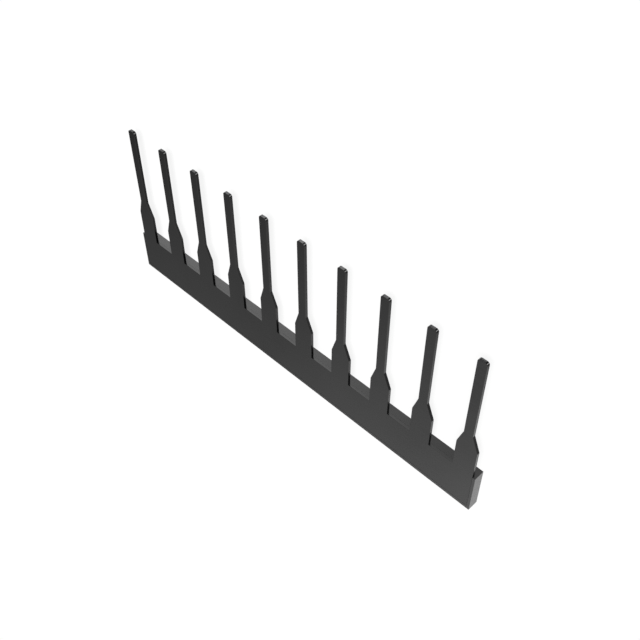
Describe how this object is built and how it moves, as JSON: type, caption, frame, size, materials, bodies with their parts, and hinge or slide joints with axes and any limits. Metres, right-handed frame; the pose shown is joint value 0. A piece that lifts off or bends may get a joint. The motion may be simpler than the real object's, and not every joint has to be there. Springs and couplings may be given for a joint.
{
  "type": "terminal block jumper bar",
  "caption": "Plug-in jumper bar: a flat stamped comb of shouldered contact pins set flush in the front of a slim insulating spine, to link neighbouring terminals.",
  "frame": {"origin": "under the middle of the whole bar, on the plane of the spine's back", "axes": "+X along the bar, +Y from the spine towards the tips of the tines, +Z out of the flush front face of the comb"},
  "size_m": [0.0498, 0.0196, 0.0012],
  "materials": {
    "plated_copper_alloy": "satin",
    "moulded_polyamide": "satin"
  },
  "bodies": {
    "root": {"contact_comb": "plated_copper_alloy", "insulating_spine": "moulded_polyamide"}
  },
  "joints": []
}
